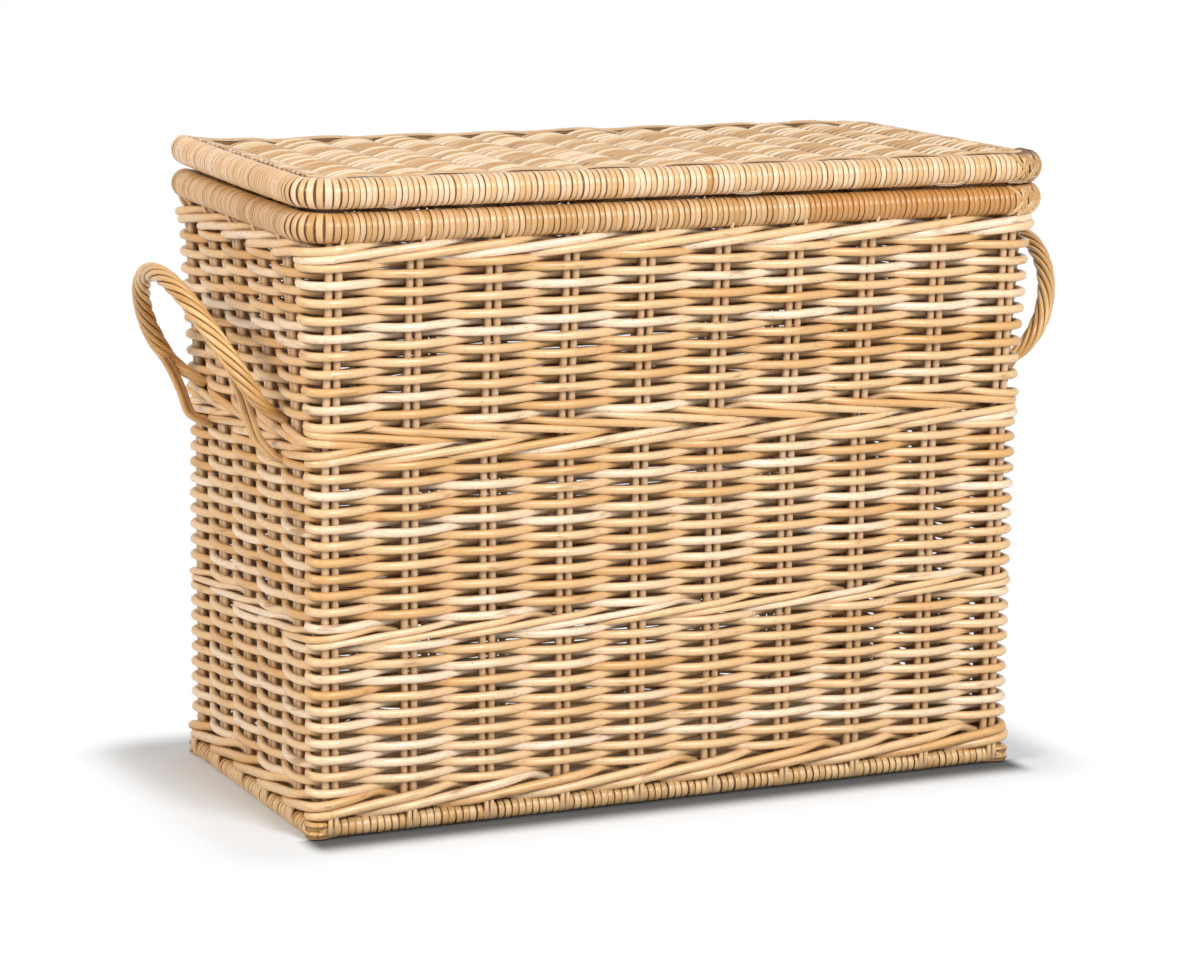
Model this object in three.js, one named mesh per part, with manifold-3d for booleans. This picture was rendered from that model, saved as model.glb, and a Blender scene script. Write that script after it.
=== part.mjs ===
// Rattan storage hamper: a box woven on paired stakes, with a wrapped rim, rope handles and a hinged lid.
// Millimetres, +Z up, front towards -Y, standing on Z = 0 under the middle of the whole object.
import * as THREE from 'three';
import { mergeVertices } from 'three/addons/utils/BufferGeometryUtils.js';
import Module from 'manifold-3d';

const wasm = await Module();
wasm.setup();

// Cane
const stakeDiameter = 6.6;
const weaverDiameter = 7.2;
const rowPitch = 7.5;
const upperRowPitch = 7.9;
const lidRibDiameter = 6.4;
const lidWeaverDiameter = 6;
const lidRowPitch = 6;
const edgeRodDiameter = 5;

// Basket, measured over the weave at the floor
const footWidth = 728;
const footDepth = 338;
const cornerRadius = 20;
const wallLean = 5;
const footPoleDiameter = 19;
const footFlat = 1;
const floorCrest = 7;
const floorValley = 5;
const floorRibCount = 6;
const floorSelvedge = 40;

// Weave from the foot up: rows of plain weave between bands of wale
const bottomWaleHeight = 21;
const lowerRows = 18;
const lowerWaleHeight = 15;
const middleRows = 20;
const middleWaleHeight = 15.5;
const upperRows = 19;
const topWaleHeight = 16.5;

// Stake pairs
const frontPairs = 10;
const endPairs = 5;
const stakeFromCorner = 3;
const endStakeFromFront = 31;
const stakeCover = 0.3;

// Rims and lid
const rimDiameter = 28;
const rimOverhang = 12;
const rimCornerRadius = 40;
const lidPanelRise = 7;
const lidRibCount = 13;
const lidRibCover = 0.4;

// Hinge loops
const hingeCane = 4.5;
const hingeWidth = 28;
const hingeClearance = 0.6;
const hingeSweepClearance = 1.2;

// Rope handles
const ropeDiameter = 16;
const ropeStrands = 5;
const ropeLay = 96;
const ropeGroove = 0.84;
const ropeTip = 0.5;
const handleWidth = 236;
const handleHeight = 114;
const handleWaist = 40;
const handleReach = 67;
const handleCurl = 0.66;
const handleTaper = 0.2;
const handleRise = 9;
const handleTail = 46;
const handleBackset = 10;

// Fit
const seatGap = 0.3;
const lidSeat = 0.4;

// Facets
const cornerSteps = 4;
const rimSides = 12;
const rodSides = 6;
const ropeSteps = 36;
const archPoints = 8;
const rollSteps = 4;
const loopSteps = 8;

const stakeRadius = stakeDiameter / 2;
const rimRadius = rimDiameter / 2;
const ropeRadius = ropeDiameter / 2;
const footPoleRadius = footPoleDiameter / 2;
const footHeight = footPoleDiameter - footFlat;

// Offsets from the stakes' middle plane: over a pair, behind a pair, and between pairs
const crest = stakeRadius + weaverDiameter;
const tuck = stakeRadius + seatGap + stakeCover;
const bay = (crest + tuck) / 2;
const midRadius = cornerRadius - crest;
const mitreShift = seatGap / Math.SQRT2;

// Heights of the bands
const wallBottom = footHeight + seatGap;
const lowerFrom = wallBottom + bottomWaleHeight;
const lowerTo = lowerFrom + lowerRows * rowPitch;
const middleFrom = lowerTo + lowerWaleHeight;
const middleTo = middleFrom + middleRows * rowPitch;
const middleWaleJoin = middleTo + middleWaleHeight;
const upperFrom = middleWaleJoin + middleWaleHeight;
const upperTo = upperFrom + upperRows * upperRowPitch;
const wallTop = upperTo + topWaleHeight;
const rimHeight = wallTop + seatGap + rimRadius;
const lidHeight = rimHeight + rimDiameter + lidSeat;
const leanAt = (z) => wallLean * (z - wallBottom) / (wallTop - wallBottom);

const rimWidth = footWidth + 2 * (wallLean + rimOverhang);
const rimDepth = footDepth + 2 * (wallLean + rimOverhang);
const hingeY = rimDepth / 2 - rimRadius;
const hingeBore = rimRadius + hingeClearance;
const hingeRadius = hingeBore + hingeCane;

// The four sides in order round the basket: span is from the middle to the stakes' plane
const sides = [
  { name: 'front', isEnd: false, turn: 0 },
  { name: 'right', isEnd: true, turn: Math.PI / 2 },
  { name: 'back', isEnd: false, turn: Math.PI },
  { name: 'left', isEnd: true, turn: -Math.PI / 2 },
].map((side) => ({
  ...side,
  length: side.isEnd ? footDepth : footWidth,
  span: (side.isEnd ? footWidth : footDepth) / 2 - crest,
  pairs: side.isEnd ? endPairs : frontPairs,
}));

const straightHalf = (side) => side.length / 2 - cornerRadius;

// Stake pairs are evenly spaced; on the ends they stop short of the front corner
function pairAt(side, i) {
  const far = straightHalf(side) - stakeFromCorner;
  const near = straightHalf(side) - (side.isEnd ? endStakeFromFront : stakeFromCorner);
  const [first, last] = side.turn > 0 ? [-near, far] : [-far, near];
  return THREE.MathUtils.lerp(first, last, i / (side.pairs - 1));
}

const hingeX = (pairAt(sides[0], frontPairs - 1) + pairAt(sides[0], frontPairs - 2)) / 2;
const lidRibPitch = 2 * hingeX / (lidRibCount - 1);

function cane(name, color, roughness) {
  return new THREE.MeshStandardMaterial({ name, color, roughness, metalness: 0 });
}

const weaveCane = cane('weave cane', 0xd9b071, 0.5);
const waleCane = cane('wale cane', 0xe0bb7f, 0.5);
const stakeCane = cane('stake cane', 0xc99a5b, 0.55);
const rimPeel = cane('basket rim peel', 0xcf9f5c, 0.35);
const lidPeel = cane('lid rim peel', 0xe3c48d, 0.35);
const lidCane = cane('lid cane', 0xdfbd84, 0.5);
const ropeCane = cane('rope cane', 0xcb984f, 0.45);
const footPeel = cane('foot peel', 0xb98643, 0.4);

// A closed surface from points and triangles, turned so that its faces point out
function closedSurface(points, triangles) {
  let volume = 0;
  const corner = new THREE.Vector3();
  for (const [a, b, c] of triangles) {
    volume += points[a].dot(corner.crossVectors(points[b], points[c]));
  }
  const index = triangles.flatMap(([a, b, c]) => (volume > 0 ? [a, b, c] : [a, c, b]));
  const geometry = new THREE.BufferGeometry().setFromPoints(points);
  geometry.setIndex(index);
  return geometry;
}

// Sections of equal point count joined one after the other, in a ring or capped at both ends
function loft(sections, inRing) {
  const count = sections[0].length;
  const triangles = [];
  const last = inRing ? sections.length : sections.length - 1;
  for (let i = 0; i < last; i++) {
    const here = i * count;
    const next = ((i + 1) % sections.length) * count;
    for (let k = 0; k < count; k++) {
      const other = (k + 1) % count;
      triangles.push([here + k, here + other, next + other], [here + k, next + other, next + k]);
    }
  }
  if (!inRing) {
    const end = (sections.length - 1) * count;
    for (let k = 1; k < count - 1; k++) {
      triangles.push([0, k + 1, k], [end, end + k, end + k + 1]);
    }
  }
  return closedSurface(sections.flat(), triangles);
}

function toSolid(geometry) {
  const bare = geometry.clone();
  bare.deleteAttribute('normal');
  bare.deleteAttribute('uv');
  const merged = mergeVertices(bare, 1e-4);
  const vertProperties = new Float32Array(merged.attributes.position.array);
  const triVerts = new Uint32Array(merged.index.array);
  return new wasm.Manifold(new wasm.Mesh({ numProp: 3, vertProperties, triVerts }));
}

function toGeometry(solid) {
  const { vertProperties, triVerts } = solid.getMesh();
  const geometry = new THREE.BufferGeometry();
  geometry.setAttribute('position', new THREE.BufferAttribute(vertProperties, 3));
  geometry.setIndex(new THREE.BufferAttribute(triVerts, 1));
  return geometry;
}

function cut(geometry, cutters) {
  let solid = toSolid(geometry);
  for (const cutter of cutters) {
    solid = solid.subtract(toSolid(cutter));
  }
  return toGeometry(solid);
}

function block(low, high) {
  const size = new THREE.Vector3().subVectors(high, low);
  const middle = new THREE.Vector3().addVectors(low, high).multiplyScalar(0.5);
  return new THREE.BoxGeometry(size.x, size.y, size.z).translate(middle.x, middle.y, middle.z);
}

function circleSection(radius, sides) {
  return Array.from({ length: sides }, (_, k) => {
    const angle = 2 * Math.PI * k / sides;
    return [radius * Math.cos(angle), radius * Math.sin(angle)];
  });
}

// Stations round one corner of a rounded rectangle, with the way out of it at each
function cornerStations(width, depth, radius, signX, signY) {
  const start = Math.atan2(signY, signX) - Math.PI / 4;
  return Array.from({ length: cornerSteps + 1 }, (_, k) => {
    const angle = start + Math.PI / 2 * k / cornerSteps;
    const way = new THREE.Vector2(Math.cos(angle), Math.sin(angle));
    const centre = new THREE.Vector2(signX * (width / 2 - radius), signY * (depth / 2 - radius));
    return { at: centre.addScaledVector(way, radius), way };
  });
}

function roundedStations(width, depth, radius) {
  const corners = [[1, -1], [1, 1], [-1, 1], [-1, -1]];
  return corners.flatMap(([signX, signY]) => cornerStations(width, depth, radius, signX, signY));
}

// A rod or band along stations; its section is given as [out, height] points
function sweep(stations, section, inRing) {
  const sections = stations.map(({ at, way }) => section.map(([out, z]) => {
    return new THREE.Vector3(at.x + way.x * out, at.y + way.y * out, z);
  }));
  return loft(sections, inRing);
}

// A point of a wall in its side's own frame: u along the side and round its corners, out of the basket, up
function wallPoint(side, u, out, z) {
  const straight = straightHalf(side);
  const turn = Math.max(0, Math.abs(u) - straight) / midRadius;
  const radius = midRadius + out + leanAt(z);
  const along = Math.min(Math.abs(u), straight) + radius * Math.sin(turn);
  const away = side.span + mitreShift - midRadius + radius * Math.cos(turn);
  return new THREE.Vector3(Math.sign(u) * along, -away, z);
}

// Two stakes side by side, straight up the wall from one height to another
function stakePair(side, u, grow, low, high) {
  const rod = stakeRadius + grow;
  const outline = [];
  for (let k = -2; k <= 2; k++) {
    const angle = k * Math.PI / 3;
    outline.push([stakeRadius + rod * Math.cos(angle), rod * Math.sin(angle)]);
  }
  for (let k = -2; k <= 2; k++) {
    const angle = Math.PI + k * Math.PI / 3;
    outline.push([-stakeRadius + rod * Math.cos(angle), rod * Math.sin(angle)]);
  }
  const level = (z) => outline.map(([x, out]) => wallPoint(side, 0, out, z).setX(u + x));
  return loft([level(low), level(high)], false);
}

// One woven wall, mitred at its corners: every row crosses over one pair of stakes and behind the next,
// and the rows above and below do the opposite; the wale bands are left as channels in the outer face
function wovenWall(side, firstPair) {
  const cornerEnd = straightHalf(side) + midRadius * Math.PI / 4;
  const cornerHalf = straightHalf(side) + midRadius * Math.PI / 8;
  const pairs = Array.from({ length: side.pairs }, (_, i) => ({ u: pairAt(side, i), pair: firstPair + i }));
  const stations = [{ u: -cornerEnd }, { u: -cornerHalf }, ...pairs, { u: cornerHalf }, { u: cornerEnd }];

  const levels = [{ z: wallBottom }];
  for (const [from, to, rows] of [
    [lowerFrom, lowerTo, lowerRows], [middleFrom, middleTo, middleRows], [upperFrom, upperTo, upperRows],
  ]) {
    levels.push({ z: from });
    for (let row = 0; row < rows; row++) {
      levels.push({ z: THREE.MathUtils.lerp(from, to, (row + 0.5) / rows), row });
    }
    levels.push({ z: to });
  }
  levels.push({ z: wallTop });

  const outAt = (station, level) => {
    if (level.row === undefined) return tuck;
    if (station.pair === undefined) return bay;
    return (station.pair + level.row) % 2 === 0 ? crest : tuck;
  };
  const outs = levels.map((level) => stations.map((station) => outAt(station, level)));
  const points = levels.flatMap((level, k) => stations.map((station, j) => {
    return wallPoint(side, station.u, outs[k][j], level.z);
  }));
  const inner = (sign, z) => {
    const half = straightHalf(side) + midRadius - crest + leanAt(z);
    return new THREE.Vector3(sign * half, -(side.span + mitreShift - crest + leanAt(z)), z);
  };
  const corners = [inner(-1, wallBottom), inner(1, wallBottom), inner(1, wallTop), inner(-1, wallTop)];
  return wovenBlock(outs, points, corners);
}

// A closed block with a woven face of points in rows from below, a flat face behind it and plain edges
function wovenBlock(outs, face, corners) {
  const width = outs[0].length;
  const points = [...face, ...corners];
  const triangles = [];
  for (let k = 0; k < outs.length - 1; k++) {
    for (let j = 0; j < width - 1; j++) {
      const [a, b] = [k * width + j, k * width + j + 1];
      const [c, d] = [a + width, b + width];
      if (outs[k][j] + outs[k + 1][j + 1] < outs[k][j + 1] + outs[k + 1][j]) {
        triangles.push([a, b, d], [a, d, c]);
      } else {
        triangles.push([a, b, c], [b, d, c]);
      }
    }
  }

  const base = face.length;
  triangles.push([base, base + 3, base + 2], [base, base + 2, base + 1]);
  const cap = (loop, flat) => {
    const faces = THREE.ShapeUtils.triangulateShape(loop.map((i) => flat(points[i])), []);
    triangles.push(...faces.map((face) => face.map((i) => loop[i])));
  };
  const columns = Array.from({ length: width }, (_, j) => j);
  const rows = Array.from({ length: outs.length }, (_, k) => k);
  const lastRow = (outs.length - 1) * width;
  const fromBelow = (p) => new THREE.Vector2(-p.x, p.y);
  const fromAbove = (p) => new THREE.Vector2(p.x, p.y);
  const fromLeft = (p) => new THREE.Vector2(-p.y, p.z);
  const fromRight = (p) => new THREE.Vector2(p.y, p.z);
  cap([base, base + 1, ...columns.toReversed()], fromBelow);
  cap([...columns.map((j) => lastRow + j), base + 2, base + 3], fromAbove);
  cap([base + 3, base, ...rows.map((k) => k * width)], fromLeft);
  cap([base + 1, base + 2, ...rows.map((k) => k * width + width - 1).toReversed()], fromRight);
  return closedSurface(points, triangles);
}

// A band of wale round the whole basket, seated in its channel
function waleBand(from, to) {
  const low = from + seatGap / 2;
  const high = to - seatGap / 2;
  const shoulder = (high - low) / 4;
  const inner = tuck + mitreShift + seatGap;
  const section = [
    [inner + leanAt(low), low],
    [bay + leanAt(low), low],
    [crest + leanAt(low), low + shoulder],
    [crest + leanAt(high), high - shoulder],
    [bay + leanAt(high), high],
    [inner + leanAt(high), high],
  ];
  return sweep(roundedStations(footWidth - 2 * crest, footDepth - 2 * crest, midRadius), section, true);
}

// A wrapped round hoop that follows the rim's plan
function rimHoop(height) {
  const section = circleSection(rimRadius, rimSides).map(([out, up]) => [out, height + up]);
  const radius = rimCornerRadius - rimRadius;
  return sweep(roundedStations(rimWidth - rimDiameter, rimDepth - rimDiameter, radius), section, true);
}

// A sheet of cane woven over ribs that run front to back: it rolls up over each rib and down between them
function rolledSheet(width, depth, pitch, ribs, high, low) {
  const top = [new THREE.Vector2(-width / 2, low)];
  const first = -pitch * ribs / 2;
  for (let k = 0; k <= ribs * rollSteps; k++) {
    const wave = (1 - Math.cos(2 * Math.PI * k / rollSteps)) / 2;
    top.push(new THREE.Vector2(first + pitch * k / rollSteps, low + (high - low) * wave));
  }
  top.push(new THREE.Vector2(width / 2, low));
  const bottom = top.map((p) => new THREE.Vector2(p.x, -p.y)).reverse();
  const sheet = new THREE.ExtrudeGeometry(new THREE.Shape([...top, ...bottom]), {
    depth, bevelEnabled: false, steps: 1,
  });
  const frame = new THREE.Matrix4().makeBasis(
    new THREE.Vector3(1, 0, 0), new THREE.Vector3(0, 0, 1), new THREE.Vector3(0, -1, 0));
  return sheet.applyMatrix4(frame).translate(0, depth / 2, 0);
}

function roundedPlate(width, depth, radius, low, high) {
  const rim = roundedStations(width, depth, radius).map(({ at }) => at);
  const plate = new THREE.ExtrudeGeometry(new THREE.Shape(rim), { depth: high - low, bevelEnabled: false });
  return plate.translate(0, 0, low);
}

const ribPlaces = Array.from({ length: lidRibCount }, (_, i) => lidRibPitch * (i - (lidRibCount - 1) / 2));

// Every second rib is a rod of its own; the rest are part of the panel
const looseRibs = ribPlaces.filter((_, i) => i % 2 === 1);

// The lid's weave, lying flat: every row crosses over one rib and beneath the next
function lidWeave(width, depth) {
  const high = lidRibDiameter / 2 + lidWeaverDiameter;
  const low = lidRibDiameter / 2 + seatGap + lidRibCover;
  const under = (lidRibDiameter + lidWeaverDiameter) / 2;
  const rowCount = Math.round(depth / lidRowPitch);
  const rows = Array.from({ length: rowCount }, (_, row) => depth * ((row + 0.5) / rowCount - 0.5));
  const levels = [-depth / 2, ...rows, depth / 2];
  const stations = [-width / 2, ...ribPlaces, width / 2];
  const outs = levels.map((_, k) => stations.map((_, j) => {
    const atEdge = [0, stations.length - 1].includes(j) || [0, levels.length - 1].includes(k);
    if (atEdge) return low;
    return (j + k) % 2 === 1 ? high : low;
  }));
  const face = levels.flatMap((z, k) => stations.map((x, j) => new THREE.Vector3(x, -outs[k][j], z)));
  const corner = (signX, signZ) => new THREE.Vector3(signX * width / 2, under, signZ * depth / 2);
  const corners = [corner(-1, -1), corner(1, -1), corner(1, 1), corner(-1, 1)];
  return wovenBlock(outs, face, corners).rotateX(-Math.PI / 2);
}

// The lid's woven panel: rounded to the rim, bored for its ribs and notched where the hinge loops pass
function lidPanel() {
  const inset = rimDiameter + seatGap;
  const width = rimWidth - 2 * inset;
  const depth = rimDepth - 2 * inset;
  const high = lidRibDiameter / 2 + lidWeaverDiameter;
  const plate = roundedPlate(width, depth, rimCornerRadius - rimDiameter, -2 * high, 2 * high);
  const rounded = toGeometry(toSolid(lidWeave(width, depth)).intersect(toSolid(plate)));
  const bores = looseRibs.map((x) => lidRib(x, seatGap, depth));
  const reach = hingeRadius + hingeSweepClearance;
  const notches = [-hingeX, hingeX].map((x) => block(
    new THREE.Vector3(x - hingeWidth / 2 - hingeSweepClearance, hingeY - reach, -2 * high),
    new THREE.Vector3(x + hingeWidth / 2 + hingeSweepClearance, rimDepth / 2, 2 * high)));
  return cut(rounded, [...bores, ...notches]).translate(0, 0, lidHeight + lidPanelRise);
}

// A round rib from front to back at the panel's middle height
function lidRib(x, grow, length) {
  const overrun = grow > 0 ? weaverDiameter : 0;
  const ends = [-length / 2 - overrun, length / 2 + overrun];
  const ring = circleSection(lidRibDiameter / 2 + grow, rodSides);
  return loft(ends.map((y) => ring.map(([right, up]) => new THREE.Vector3(x + right, y, up))), false);
}

// The thin rod that lies in the crease between the lid's rim and its panel, along the front and both ends
function lidEdgeRod() {
  const rod = edgeRodDiameter / 2;
  const inward = rimRadius - rod;
  const rise = Math.sqrt((rimRadius + rod + seatGap) ** 2 - inward ** 2);
  const inset = rimRadius + inward;
  const width = rimWidth - 2 * inset;
  const depth = rimDepth - 2 * inset;
  const radius = rimCornerRadius - inset;
  const back = rimDepth / 2 - rimCornerRadius;
  const left = { at: new THREE.Vector2(-width / 2, back), way: new THREE.Vector2(-1, 0) };
  const right = { at: new THREE.Vector2(width / 2, back), way: new THREE.Vector2(1, 0) };
  const bends = [[-1, -1], [1, -1]].flatMap(([x, y]) => cornerStations(width, depth, radius, x, y));
  const section = circleSection(rod, rodSides).map(([out, up]) => [out, lidHeight + rise + up]);
  return sweep([left, ...bends, right], section, false);
}

// A closed loop of cane round the two rims at the back: the basket's below, the lid's above
function hingeLoop() {
  const loop = (path, radius) => path
    .absarc(hingeY, rimHeight, radius, Math.PI, 2 * Math.PI, false)
    .absarc(hingeY, lidHeight, radius, 0, Math.PI, false)
    .closePath();
  const shape = loop(new THREE.Shape(), hingeRadius);
  shape.holes.push(loop(new THREE.Path(), hingeBore));
  const frame = new THREE.Matrix4().makeBasis(
    new THREE.Vector3(0, 1, 0), new THREE.Vector3(0, 0, 1), new THREE.Vector3(1, 0, 0));
  const band = new THREE.ExtrudeGeometry(shape, {
    depth: hingeWidth, bevelEnabled: false, curveSegments: loopSteps,
  });
  return band.applyMatrix4(frame).translate(-hingeWidth / 2, 0, 0);
}

const hingeSlots = () => [-hingeX, hingeX].map((x) => block(
  new THREE.Vector3(x - hingeWidth / 2 - seatGap, 0, rimHeight - hingeRadius - seatGap),
  new THREE.Vector3(x + hingeWidth / 2 + seatGap, rimDepth, rimHeight)));

// The middle line of a handle in its side's frame: a tail down the wall, up, out and over like a horseshoe
// that narrows to its roots, and down again
function handlePath(side) {
  const foot = upperFrom + handleRise;
  const face = side.span + mitreShift + crest + leanAt(foot);
  const middle = Math.sign(side.turn) * handleBackset;
  const spot = (u, out, z) => new THREE.Vector3(middle + u, -(face + out), z);
  const top = handleHeight - handleWaist;
  const rootAngle = -Math.asin(handleWaist / top);
  const acrossAt = (angle) => handleWidth / 2 * Math.cos(angle) * (1 - handleTaper * Math.sin(angle));
  const leg = acrossAt(rootAngle);
  const stand = ropeRadius + seatGap;
  const tip = ropeRadius * ropeTip + seatGap;
  const arch = Array.from({ length: archPoints - 1 }, (_, i) => {
    const angle = THREE.MathUtils.lerp(rootAngle, Math.PI - rootAngle, (i + 1) / archPoints);
    const up = handleWaist + top * Math.sin(angle);
    const out = stand + handleReach * (up / handleHeight) ** handleCurl;
    return spot(-acrossAt(angle), out, foot + up);
  });
  const tail = (sign) => [
    spot(sign * leg, tip, foot - handleTail),
    spot(sign * leg, ropeRadius * (1 + ropeTip) / 2 + seatGap, foot - handleTail / 2),
    spot(sign * leg, stand, foot),
  ];
  return new THREE.CatmullRomCurve3([...tail(-1), ...arch, ...tail(1).reverse()], false, 'centripetal');
}

// Strands laid into a rope along a path: lobes that turn as they go, drawn in at both tails
function layRope(path) {
  const frames = path.computeFrenetFrames(ropeSteps, false);
  const length = path.getLength();
  const sections = Array.from({ length: ropeSteps + 1 }, (_, i) => {
    const at = path.getPointAt(i / ropeSteps);
    const along = length * i / ropeSteps;
    const drawn = Math.min(1, Math.min(along, length - along) / handleTail);
    const radius = ropeRadius * (ropeTip + (1 - ropeTip) * drawn);
    return Array.from({ length: 2 * ropeStrands }, (_, k) => {
      const angle = Math.PI * k / ropeStrands + 2 * Math.PI * along / ropeLay;
      const reach = radius * (k % 2 === 0 ? 1 : ropeGroove);
      return at.clone()
        .addScaledVector(frames.normals[i], reach * Math.cos(angle))
        .addScaledVector(frames.binormals[i], reach * Math.sin(angle));
    });
  });
  return loft(sections, false);
}

// A foot pole along X, flat where it stands on the floor
function footPole(length) {
  const low = Math.asin((footHeight - footPoleRadius) / footPoleRadius);
  const shape = new THREE.Shape();
  shape.absarc(0, footHeight - footPoleRadius, footPoleRadius, -low, Math.PI + low, false);
  const frame = new THREE.Matrix4().makeBasis(
    new THREE.Vector3(0, 1, 0), new THREE.Vector3(0, 0, 1), new THREE.Vector3(1, 0, 0));
  const pole = new THREE.ExtrudeGeometry(shape, {
    depth: length, bevelEnabled: false, curveSegments: rimSides,
  });
  return pole.applyMatrix4(frame).translate(-length / 2, 0, 0);
}

const hamper = new THREE.Group();
hamper.position.y = -(hingeRadius - rimRadius) / 2;

function piece(name, geometry, material, parent = hamper) {
  const mesh = new THREE.Mesh(geometry, material);
  mesh.name = name;
  parent.add(mesh);
  return mesh;
}

let firstPair = 0;
for (const side of sides) {
  const wall = new THREE.Group();
  wall.rotation.z = side.turn;
  hamper.add(wall);
  const places = Array.from({ length: side.pairs }, (_, i) => pairAt(side, i));
  const bores = places.map((u) => stakePair(side, u, seatGap, wallBottom - rowPitch, wallTop + rowPitch));
  const slots = side.name === 'back' ? hingeSlots().map((slot) => slot.rotateZ(-side.turn)) : [];
  piece(`${side.name}_weave`, cut(wovenWall(side, firstPair), [...bores, ...slots]), weaveCane, wall);
  places.forEach((u, i) => {
    piece(`${side.name}_stake_pair_${i + 1}`, stakePair(side, u, 0, wallBottom, wallTop), stakeCane, wall);
  });
  const poleLength = side.isEnd ? footDepth - 2 * (footPoleDiameter + seatGap) : footWidth;
  const pole = piece(`${side.name}_foot_pole`, footPole(poleLength), footPeel, wall);
  pole.position.y = -(side.span + crest - footPoleRadius);
  if (side.isEnd) {
    piece(`${side.name}_handle`, layRope(handlePath(side)), ropeCane, wall);
  }
  firstPair += side.pairs;
}

piece('bottom_wale', waleBand(wallBottom, lowerFrom), waleCane);
piece('lower_wale', waleBand(lowerTo, middleFrom), waleCane);
piece('middle_wale_lower', waleBand(middleTo, middleWaleJoin), waleCane);
piece('middle_wale_upper', waleBand(middleWaleJoin, upperFrom), waleCane);
piece('top_wale', cut(waleBand(upperTo, wallTop), hingeSlots()), waleCane);

const floorWidth = footWidth - 2 * (footPoleDiameter + seatGap);
const floorDepth = footDepth - 2 * (footPoleDiameter + seatGap);
const floorRibPitch = (floorWidth - 2 * floorSelvedge) / floorRibCount;
const floorSheet = rolledSheet(floorWidth, floorDepth, floorRibPitch, floorRibCount, floorCrest, floorValley);
piece('floor_panel', floorSheet, lidCane).position.z = footHeight - floorCrest;

piece('basket_rim', rimHoop(rimHeight), rimPeel);
for (const [name, x] of [['left_hinge_loop', -hingeX], ['right_hinge_loop', hingeX]]) {
  piece(name, hingeLoop(), ropeCane).position.x = x;
}

piece('lid_rim', rimHoop(lidHeight), lidPeel);
piece('lid_panel', lidPanel(), lidCane);
looseRibs.forEach((x, i) => {
  const rib = lidRib(x, 0, rimDepth - 2 * (rimDiameter + seatGap));
  piece(`lid_rib_${i + 1}`, rib, stakeCane).position.z = lidHeight + lidPanelRise;
});
piece('lid_edge_rod', lidEdgeRod(), lidPeel);

export default hamper;
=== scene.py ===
import math

import bpy
from mathutils import Matrix, Vector


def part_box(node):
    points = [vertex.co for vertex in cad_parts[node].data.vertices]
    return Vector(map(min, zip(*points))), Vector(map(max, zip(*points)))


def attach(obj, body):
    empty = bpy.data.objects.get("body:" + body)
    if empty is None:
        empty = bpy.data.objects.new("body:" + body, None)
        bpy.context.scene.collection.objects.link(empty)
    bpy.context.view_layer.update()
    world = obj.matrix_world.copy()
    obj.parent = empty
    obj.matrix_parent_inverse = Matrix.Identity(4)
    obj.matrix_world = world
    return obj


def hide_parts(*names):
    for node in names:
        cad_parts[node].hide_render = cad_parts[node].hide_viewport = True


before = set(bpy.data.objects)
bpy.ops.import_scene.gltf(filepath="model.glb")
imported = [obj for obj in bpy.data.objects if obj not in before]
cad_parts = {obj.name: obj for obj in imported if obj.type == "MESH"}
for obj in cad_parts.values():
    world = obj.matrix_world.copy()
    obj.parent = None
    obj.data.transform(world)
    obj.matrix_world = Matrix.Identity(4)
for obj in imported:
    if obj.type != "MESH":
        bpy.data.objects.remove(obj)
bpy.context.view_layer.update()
print("frame loaded:", len(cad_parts), "nodes")


# Node sums written as Python sums

class Wire:
    def __init__(self, board, socket):
        self.board = board
        self.socket = socket

    def also(self, name):  # another output of the same node
        return Wire(self.board, self.socket.node.outputs[name])

    def to(self, operation, *others):
        return self.board.sums(operation, self, *others)

    def __add__(self, other):
        return self.to("ADD", other)

    def __sub__(self, other):
        return self.to("SUBTRACT", other)

    def __rsub__(self, other):
        return self.board.sums("SUBTRACT", other, self)

    def __mul__(self, other):
        return self.to("MULTIPLY", other)

    def __truediv__(self, other):
        return self.to("DIVIDE", other)

    def __mod__(self, other):
        return self.to("FLOORED_MODULO", other)

    def __pow__(self, other):
        return self.to("POWER", other)

    __radd__ = __add__
    __rmul__ = __mul__


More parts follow.
